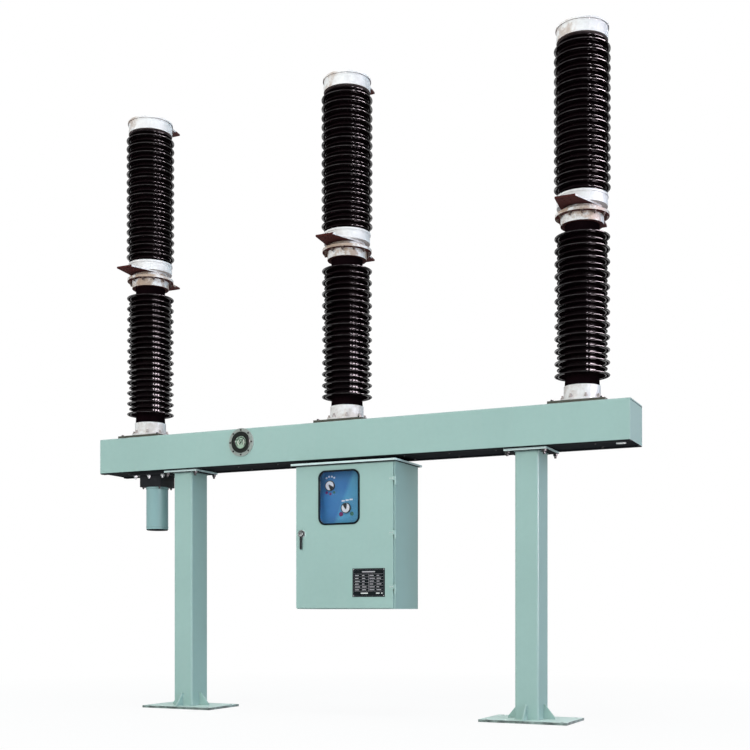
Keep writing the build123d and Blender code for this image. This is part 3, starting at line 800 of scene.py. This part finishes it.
dial_marks = bmesh.new()
dial_arc(dial_marks, 0.038, 0.043, -130, 130, MARK_LIFT)
for step in range(27):
    angle = -130 + 10 * step
    outer = 0.051 if step % 2 else 0.054
    dial_arc(dial_marks, 0.043, outer, angle - 0.9, angle + 0.9, MARK_LIFT)
dial_arc(dial_marks, 0.018, 0.023, -150, 150, MARK_LIFT)
add_piece("gauge_scale", dial_marks, DIAL_MARKS, "frame")

dial_bands = bmesh.new()
dial_arc(dial_bands, 0.024, 0.036, -130, -40, BAND_LIFT)
dial_arc(dial_bands, 0.024, 0.036, 60, 130, BAND_LIFT)
add_piece("gauge_bands", dial_bands, DIAL_WHITE, "frame")

pointer = bmesh.new()
needle_place = dial_place @ Matrix.Rotation(math.radians(-38), 4, "Z")
needle = [(-0.004, -0.016), (0.004, -0.016), (0.0025, 0.046), (0.0, 0.050), (-0.0025, 0.046)]
pointer.faces.new([pointer.verts.new(needle_place @ Vector((x, y, 0.002))) for x, y in needle])
turn_profile(pointer, [(0, 0.001), (0.007, 0.001), (0.007, 0.0032), (0, 0.0042)], dial_place, 24)
add_piece("gauge_pointer", pointer, DIAL_MARKS, "frame")

gauge_screws = bmesh.new()
screw_circle = (gauge_radius + BEZEL_RADIUS) / 2 + 0.001
for step in range(8):
    angle = math.radians(45 * step)
    x = gauge_x + screw_circle * math.cos(angle)
    z = gauge_z + screw_circle * math.sin(angle)
    add_bolt(gauge_screws, (x, ring_low.y + SCREW_SEAT, z), FACING_FRONT, M8, 0.0)
add_piece("gauge_screws", gauge_screws, DARK_BOLTS, "frame")

# ---- Mechanism cabinet ----
# Folded and welded 3 mm sheet under a flat rain roof, hung from the beam on
# four blocks. Powder coated teal inside and out, with a soft door seal.

# The cabinet's faces below are darkened as painted shade.
CABINET_PAINT = painted_steel("teal_cabinet_paint", TEAL, 0.40, 0.6, 0.35)
dress(CABINET_PAINT, "cabinet_body", "fixed_hinges")
# The roof has the paler teal that is painted light.
dress(LIT_PLATE_PAINT, "cabinet_roof")
# The hangers in the gap under the beam are near black as painted shade.
dress(NEAR_BLACK_SHADE_COAT, "cabinet_hangers")

SEAL_WIDTH = 0.012
body_low, body_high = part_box("cabinet_body")


def add_box(shape, low, high):
    """Box between two corners."""
    size = Vector(high) - Vector(low)
    middle = (Vector(high) + Vector(low)) / 2
    matrix = Matrix.Translation(middle) @ Matrix.Diagonal((*size, 1.0))
    bmesh.ops.create_cube(shape, size=1.0, matrix=matrix)


door_seal = bmesh.new()
seal_back = body_low.y + 0.0002
seal_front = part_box("door_leaf")[1].y + 0.0010
left, right, bottom, top = body_low.x, body_high.x, body_low.z, body_high.z
inner_left, inner_right = left + SEAL_WIDTH, right - SEAL_WIDTH
for x, z, end_x, end_z in (
    (left, bottom, inner_left, top),
    (inner_right, bottom, right, top),
    (inner_left, bottom, inner_right, bottom + SEAL_WIDTH),
    (inner_left, top - SEAL_WIDTH, inner_right, top),
):
    add_box(door_seal, (x, seal_front, z), (end_x, seal_back, end_z))
add_piece("door_seal", door_seal, CABINET_PAINT, "frame")

# ---- Indicators behind the window ----
# An enamelled blue panel with two round windows: switch position above, spring
# state below. White discs with black pointers, marks around them.

PANEL_BLUE = (0.028, 0.165, 0.43)
# Paler blue right of a slanted line: painted reflection of the window.
PANEL_REFLECTION = (0.085, 0.385, 0.60)
panel_low, panel_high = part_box("indicator_panel")
REFLECTION_SLOPE = 0.40
REFLECTION_FROM = (panel_low.x + panel_high.x - REFLECTION_SLOPE * (panel_low.z + panel_high.z)) / 2 - 0.02


def blue_panel():
    """Blue enamel with a painted reflection: paler to the right of a slanted line; spray grain."""
    material, tree, surface = open_material("indicator_panel", Specular_IOR_Level=0.4)
    place = object_place(tree)
    parts = split(tree, place)
    slant = calculate(tree, "SUBTRACT", parts["X"], times(tree, parts["Z"], REFLECTION_SLOPE))
    reflection_band = ranged(tree, slant, REFLECTION_FROM, REFLECTION_FROM + 0.035, 0.0, 1.0)
    cloud = ranged(tree, noise(tree, place, 6.0, 4.0), 0.3, 0.7, -0.15, 0.15)
    share = calculate(tree, "ADD", times(tree, reflection_band, 0.75), calculate(tree, "ADD", cloud, 0.15))
    feed(tree, mix_colours(tree, share, PANEL_BLUE, PANEL_REFLECTION), surface["Base Color"])
    feed(tree, ranged(tree, noise(tree, place, 160.0, 2.0), 0.3, 0.7, 0.35, 0.5), surface["Roughness"])
    return material


WHITE_ENAMEL = plain_coat("white_enamel", (0.82, 0.84, 0.86))
BLACK_ENAMEL = plain_coat("black_enamel", (0.012, 0.012, 0.014))
RED_ENAMEL = plain_coat("red_enamel", (0.19, 0.012, 0.11))
GREEN_ENAMEL = plain_coat("green_enamel", (0.02, 0.15, 0.09))
dress(blue_panel(), "indicator_panel")
dress(WHITE_ENAMEL, "indicators")

indicator_low, indicator_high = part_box("indicators")
DISC_RADIUS = 0.040
position_disc = Vector((indicator_low.x + DISC_RADIUS, 0, indicator_high.z - DISC_RADIUS))
spring_disc = Vector((indicator_high.x - DISC_RADIUS, 0, indicator_low.z + DISC_RADIUS))

WEDGE = (
    (-0.004, -0.010), (0.004, -0.010), (0.019, 0.030),
    (0.010, 0.036), (-0.010, 0.036), (-0.019, 0.030),
)
HUB = [(0, 0.0004), (0.006, 0.0004), (0.006, 0.004), (0, 0.0045)]
RIM = [(-0.003, 0.0005), (-0.002, 0.003), (0.002, 0.003), (0.003, 0), (0.003, -0.012)]
pointers, rims = bmesh.new(), bmesh.new()
for centre, turn in ((position_disc, -140), (spring_disc, 12)):
    disc_place = on_front(centre.x, indicator_low.y, centre.z)
    place = disc_place @ Matrix.Rotation(math.radians(turn), 4, "Z")
    outline = [place @ Vector((x, y, 0.0025)) for x, y in WEDGE]
    thicken(pointers, outline, place.to_3x3() @ Vector((0, 0, -0.0020)))
    turn_profile(pointers, HUB, place, 20)
    turn_profile(rims, [(DISC_RADIUS + beyond, height) for beyond, height in RIM], disc_place, 48)
add_piece("indicator_pointers", pointers, BLACK_ENAMEL, "frame")
add_piece("indicator_rims", rims, BEZEL, "frame")


def scatter_dots(shape, centre, dots):
    """Round raised marks round a disc, each given as right, up and radius."""
    for right, up, radius in dots:
        profile = [(0, -0.001), (radius, -0.001), (radius, 0.0015), (radius * 0.8, 0.002), (0, 0.002)]
        turn_profile(shape, profile, on_front(centre.x + right, panel_low.y, centre.z + up), 20)


white_dots = bmesh.new()
arc = ((-0.036, 0.066), (-0.012, 0.076), (0.014, 0.076), (0.036, 0.066))
scatter_dots(white_dots, position_disc, [(right, up, 0.0085) for right, up in arc])
for step in range(3):
    word = Vector((spring_disc.x - 0.028 + 0.036 * step, panel_low.y, spring_disc.z + 0.060 + 0.004 * step))
    add_box(white_dots, word + Vector((-0.014, -0.002, -0.006)), word + Vector((0.014, 0.001, 0.006)))
add_piece("panel_white_marks", white_dots, WHITE_ENAMEL, "frame")
red_pair = ((-0.034, -0.055, 0.012), (0, -0.066, 0.011))
for name, enamel, position_dots, spring_dots in (
    ("panel_red_marks", RED_ENAMEL, red_pair, ((-0.048, -0.049, 0.019),)),
    ("panel_green_marks", GREEN_ENAMEL, ((0.034, -0.055, 0.011),), ((0.051, -0.048, 0.017),)),
):
    dots = bmesh.new()
    scatter_dots(dots, position_disc, position_dots)
    scatter_dots(dots, spring_disc, spring_dots)
    add_piece(name, dots, enamel, "frame")

# ---- Cabinet door ----
# A pressed pan with a glazed window in a black rubber gasket, hung on three
# lift-off hinges. It has the cabinet's powder coat.

dress(CABINET_PAINT, "door_leaf", "door_hinges")
RUBBER = ((0.003, 0.007, 0.010), (0.006, 0.012, 0.016))
dress(matt_black("gasket_rubber", 0.1, 500.0, RUBBER, (0.45, 0.65), (0.1, 0.0003)), "window_gasket")
dress(clear_pane("window_glass", (0.93, 0.97, 1.0), 0.02), "window_glass")

HALF_HINGE = 0.017
PAN_HEAD = [(0, 0), (0.0045, 0), (0.0035, 0.0018), (0, 0.0022)]
hinge_low, hinge_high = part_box("door_hinges")
hinge_screws = bmesh.new()
for index in range(3):
    z = hinge_low.z + HALF_HINGE + index * (hinge_high.z - hinge_low.z - 2 * HALF_HINGE) / 2
    for x in (hinge_low.x + 0.010, hinge_low.x + 0.030):
        turn_profile(hinge_screws, PAN_HEAD, on_front(x, hinge_low.y, z), 16)
add_piece("hinge_screws", hinge_screws, ZINC_BOLTS, "door")

# ---- Lock and swing handle ----
# A chromed die-cast escutcheon with a black lever that hangs down, turned a
# quarter to free the door.

CHROME = turned_metal("chromed_lock", (0.62, 0.64, 0.64), 0.22, 0.9)
dress(CHROME, "door_lock")
dress(BLACK_ENAMEL, "door_handle")
lock_low, lock_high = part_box("door_lock")
lock_middle = (lock_low + lock_high) / 2

handle_cap = bmesh.new()
cap_profile = [(0.0082, 0.0), (0.019, 0.0), (0.021, 0.0012), (0.020, 0.004), (0.0082, 0.0052)]
cap_place = on_front(lock_middle.x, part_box("door_handle")[0].y, lock_middle.z)
turn_profile(handle_cap, cap_profile, cap_place, 40)
add_piece("handle_cap", handle_cap, CHROME, "handle")

# ---- Nameplate ----
# A black anodised aluminium plate, engraved bright with a border, a table of
# ruled lines, plain bars where words would stand and three bare fields. Four
# rivets hold it on the door.

ANODISED = ((0.004, 0.006, 0.007), (0.007, 0.011, 0.013))
dress(matt_black("anodised_black", 0.1, 600.0, ANODISED, (0.45, 0.6)), "nameplate")
ENGRAVED = turned_metal("engraved_aluminium", (0.50, 0.48, 0.51), 0.45, 0.1)
BARE_FIELD = turned_metal("bare_field", (0.80, 0.80, 0.80), 0.4, 0.1)
plate_low, plate_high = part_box("nameplate")
PLATE_SIZE = plate_high - plate_low
PLATE_LIFT = Vector((0, 0.0006, 0))


def rule(shape, left, right, bottom, top):
    """Bright strip on the plate between shares of its width and height."""
    low = Vector((plate_low.x + left * PLATE_SIZE.x, plate_low.y, plate_low.z + bottom * PLATE_SIZE.z))
    high = Vector((plate_low.x + right * PLATE_SIZE.x, plate_low.y, plate_low.z + top * PLATE_SIZE.z))
    add_box(shape, low - PLATE_LIFT, high + PLATE_LIFT)


BORDER, BORDER_END = 0.035, 0.965
FINE_LINE = 0.0048
HALF_WORD = 0.012
table = bmesh.new()
for edge in (BORDER, BORDER_END - 0.008):
    rule(table, BORDER, BORDER_END, edge, edge + 0.0020)
    rule(table, edge, edge + 0.0016, BORDER, BORDER_END)
for level in (0.80, 0.70, 0.60, 0.50, 0.40, 0.30, 0.20):
    rule(table, 0.06, 0.94, level, level + FINE_LINE)
rule(table, 0.50, 0.50 + FINE_LINE, 0.20, 0.80)
rule(table, 0.30, 0.70, 0.86, 0.90)
random.seed(4)
for level in (0.75, 0.65, 0.55, 0.45, 0.35, 0.25):
    for column in (0.08, 0.53):
        for start, shortest, longest in ((column, 0.10, 0.17), (column + 0.22, 0.06, 0.15)):
            end = start + random.uniform(shortest, longest)
            rule(table, start, end, level - HALF_WORD, level + HALF_WORD)
add_piece("nameplate_table", table, ENGRAVED, "door")

fields = bmesh.new()
for start, end in ((0.26, 0.48), (0.73, 0.84), (0.89, 0.93)):
    rule(fields, start, end, 0.11, 0.15)
add_piece("nameplate_fields", fields, BARE_FIELD, "door")

RIVET_INSET = 0.009
RIVET = [(0, 0), (0.004, 0), (0.0032, 0.0016), (0, 0.002)]
rivets = bmesh.new()
for x in (plate_low.x + RIVET_INSET, plate_high.x - RIVET_INSET):
    for z in (plate_low.z + RIVET_INSET, plate_high.z - RIVET_INSET):
        turn_profile(rivets, RIVET, on_front(x, plate_low.y, z), 16)
add_piece("nameplate_rivets", rivets, ZINC_BOLTS, "door")

# ---- Pole bases ----
# A dark grey steel plate, bolted to the beam, and a light alloy
# foot casting clamped on it with eight bolts.

ALLOY = (0.90, 0.875, 0.87)
ALLOY_SHADE = (0.66, 0.62, 0.63)
# Near white laid on the castings' edges as a painted highlight.
EDGE_HIGHLIGHT_ALLOY = (0.90, 0.90, 0.89)
# Reddish brown on undersides is painted shade; the terminal pads are brown all over.
UNDERSIDE_AND_PAD_BROWN = (0.060, 0.013, 0.011)
# Heat stain on the castings; on the caps' left side the same tone is painted shade.
STAIN_AND_SHADE_TONE = (0.42, 0.29, 0.21)
POLE_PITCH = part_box("base_plate_middle")[0].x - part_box("base_plate_left")[0].x


def light_casting(name, below_amount, stain_and_shade_amount, pad_root=0.2065, pad_side=1.0, stain_and_shade_right=1.0):
    """Sprayed light alloy: pale, mottled and heat-stained, with a painted highlight
    along the edges and a reddish brown on undersides that is painted shade. Pads
    beyond pad_root, front and back, and left of pad_side are brown too;
    stain_and_shade_right is the stain's share on a pole's right side, and a low share leaves
    it on the left as painted shade."""
    material, tree, surface = open_material(name, Metallic=0.0, Specular_IOR_Level=0.1)
    skin = use_group(tree, CAST_SKIN, Grain=160.0)
    edges = use_group(tree, BRIGHT_EDGES, Width=0.004, Amount=0.4)
    below = use_group(tree, FACING_DOWN, Amount=below_amount)
    base = mix_colours(tree, times(tree, skin["Mottle"], 0.5), ALLOY, ALLOY_SHADE)
    place = object_place(tree)
    parts = split(tree, place)
    from_axis = calculate(tree, "WRAP", parts["X"], POLE_PITCH / 2, -POLE_PITCH / 2)
    spots = noise(tree, place, 7.0, 6.0, 0.7)
    stain_and_shade = ranged(tree, spots, 0.50 - stain_and_shade_amount / 10, 0.62 - stain_and_shade_amount / 10, 0.0, stain_and_shade_amount)
    # A low share on the right keeps the stain on the pole's left, as painted shade.
    stain_and_shade = times(tree, stain_and_shade, ranged(tree, from_axis, -0.03, 0.02, 1.0, stain_and_shade_right))
    stained_and_shaded = mix_colours(tree, stain_and_shade, base, STAIN_AND_SHADE_TONE)
    # Edges are lightened: painted highlight.
    patchy_edge_light = mix_colours(tree, edges["Mask"], stained_and_shaded, EDGE_HIGHLIGHT_ALLOY)
    from_middle = calculate(tree, "ABSOLUTE", parts["Y"])
    outside = ranged(tree, from_middle, pad_root, pad_root + 0.004, 0.0, 1.0)
    pad = times(tree, outside, calculate(tree, "LESS_THAN", from_axis, pad_side))
    # Undersides turn brown as painted shade.
    brown = calculate(tree, "MAXIMUM", below["Mask"], pad)
    feed(tree, mix_colours(tree, brown, patchy_edge_light, UNDERSIDE_AND_PAD_BROWN), surface["Base Color"])
    rough = ranged(tree, skin["Mottle"], 0.0, 1.0, 0.42, 0.6)
    rough = calculate(tree, "MAXIMUM", rough, times(tree, below["Mask"], 0.85))
    feed(tree, rough, surface["Roughness"])
    add_bump(tree, skin["Height"], 0.35, 0.0010, surface)
    return material


# Dark grey plates; their faces below go near black as painted shade.
BASE_PLATE_PAINT = painted_steel("dark_base_plate_paint", (0.075, 0.075, 0.060), 0.6, 1.0, 0.1)
FOOT_ALLOY = light_casting("foot_alloy", 1.0, 0.3)
DULL_BOLTS = zinc_steel("dull_bolts", (0.62, 0.56, 0.54), (0.36, 0.30, 0.28), 0.0, 0.1)
BASE_BOLT_INSET = 0.030
FOOT_FLANGE = 0.022
FOOT_BOLT_CIRCLE = 0.150
FOOT_BOLTS = [math.radians(25.5 + 45 * step) for step in range(8)]
POLES = ("left", "middle", "right")


def bolt_ring(name, circle, angles, axis, size, material):
    """Bolts at given angles on a circle: its middle's x, its radius and level."""
    x, radius, z = circle
    bolts = bmesh.new()
    for angle in angles:
        point = (x + radius * math.cos(angle), radius * math.sin(angle), z)
        add_bolt(bolts, point, axis, *size)
    add_piece(name, bolts, material, "frame")


for pole in POLES:
    dress(BASE_PLATE_PAINT, f"base_plate_{pole}")
    dress(FOOT_ALLOY, f"foot_casting_{pole}")
    low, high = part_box(f"base_plate_{pole}")
    columns = (low.x + BASE_BOLT_INSET, high.x - BASE_BOLT_INSET)
    rows = (low.y + BASE_BOLT_INSET, high.y - BASE_BOLT_INSET)
    place = (columns, rows, high.z)
    bolt_grid(f"base_bolts_{pole}", place, UP, (M14, 0.0), DARK_BOLTS)
    axis_x = (low.x + high.x) / 2
    circle = (axis_x, FOOT_BOLT_CIRCLE, high.z + FOOT_FLANGE)
    bolt_ring(f"foot_bolts_{pole}", circle, FOOT_BOLTS, UP, (M16, 1.0), DULL_BOLTS)

# ---- Porcelain ----
# Turned and fired columns with large and small sheds by turns, in a dark brown
# glaze, lighter in patches. Cement holds them in their castings.

GLAZE = (0.0045, 0.0020, 0.0028)
GLAZE_THIN = (0.016, 0.007, 0.009)
column_low, column_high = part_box("support_insulator_middle")
RIM_RADIUS = column_high.y
NECK_LENGTH = 0.070


def brown_glaze():
    """Deep glossy glaze, matt below the sheds but for two rings, and on the
    sanded necks at both ends of a support column."""
    plain = {"Specular_IOR_Level": 0.0, "Coat_Roughness": 0.13, "Coat_IOR": 1.9}
    material, tree, surface = open_material("brown_glaze", **plain)
    place = object_place(tree)
    cloud = ranged(tree, noise(tree, place, 5.0, 5.0, 0.6), 0.3, 0.7, 0.0, 1.0)
    below = use_group(tree, FACING_DOWN, Amount=1.0)["Mask"]
    base = mix_colours(tree, times(tree, cloud, 0.35), GLAZE, GLAZE_THIN)
    feed(tree, base, surface["Base Color"])
    feed(tree, ranged(tree, noise(tree, place, 40.0, 3.0), 0.3, 0.7, 0.3, 0.6), surface["Roughness"])
    parts = split(tree, place)
    across = calculate(tree, "WRAP", parts["X"], POLE_PITCH / 2, -POLE_PITCH / 2)
    squares = [times(tree, part, part) for part in (across, parts["Y"])]
    radius = calculate(tree, "SQRT", calculate(tree, "ADD", *squares))
    outer_ring = ranged(tree, radius, RIM_RADIUS - 0.014, RIM_RADIUS - 0.008, 0.0, 1.0)
    inner_ring = calculate(tree, "COMPARE", radius, RIM_RADIUS - 0.030, 0.004)
    rings = calculate(tree, "MAXIMUM", outer_ring, times(tree, inner_ring, 0.7))
    run = ranged(tree, noise(tree, place, 16.0, 4.0), 0.4, 0.6, 0.3, 1.0)
    ring_gloss = times(tree, rings, run)
    kept = calculate(tree, "SUBTRACT", 1.0, below)
    gloss = calculate(tree, "ADD", times(tree, kept, 0.20), times(tree, below, ring_gloss))
    for end in (column_high.z, column_low.z):
        from_end = calculate(tree, "ABSOLUTE", calculate(tree, "SUBTRACT", parts["Z"], end))
        glazed = ranged(tree, from_end, NECK_LENGTH, NECK_LENGTH + 0.010, 0.0, 1.0)
        gloss = times(tree, gloss, glazed)
    feed(tree, gloss, surface["Coat Weight"])
    add_bump(tree, noise(tree, place, 24.0, 2.0), 0.08, 0.001, surface)
    return material


BROWN_GLAZE = brown_glaze()
for pole in POLES:
    dress(BROWN_GLAZE, f"support_insulator_{pole}", f"interrupter_{pole}")

# ---- Collars, housings and caps ----
# Light alloy castings: the collar's flange is bolted up from below, the housing
# carries the interrupter, and the cap closes it with a lid.

COLLAR_ALLOY = light_casting("collar_alloy", 1.0, 0.9)
HOUSING_ALLOY = light_casting("housing_alloy", 0.35, 0.08)
BROWNED_NUTS = zinc_steel("browned_nuts", (0.17, 0.12, 0.10), (0.05, 0.03, 0.025), 0.0, 0.05)
# Caps keep their stain on the left of the pole: painted shade.
CAP_ALLOY = light_casting("cap_alloy", 0.8, 0.6, stain_and_shade_right=0.1)
COLLAR_BOLT_CIRCLE = 0.184
COLLAR_BOLTS = [math.radians(15 + 30 * step) for step in range(12) if step not in (2, 3)]
FLANGE_UNDERSIDE = 0.064

for pole in POLES:
    dress(COLLAR_ALLOY, f"collar_{pole}")
    dress(HOUSING_ALLOY, f"housing_{pole}")
    dress(CAP_ALLOY, f"cap_{pole}")
    low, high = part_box(f"collar_{pole}")
    axis_x = (low.x + high.x) / 2
    circle = (axis_x, COLLAR_BOLT_CIRCLE, low.z + FLANGE_UNDERSIDE)
    bolt_ring(f"collar_bolts_{pole}", circle, COLLAR_BOLTS, DOWN, (M14, 0.8), BROWNED_NUTS)

# ---- Terminal plates ----
# Flat conductors clamped between collar and housing, sawn from bare light alloy
# bar; reddish brown below as painted shade, and brown all over on their outer ends.

TERMINAL_METAL = light_casting("terminal_metal", 1.0, 0.3, pad_root=0.150, pad_side=0.0395)
for pole in POLES:
    dress(TERMINAL_METAL, f"lower_terminal_{pole}")
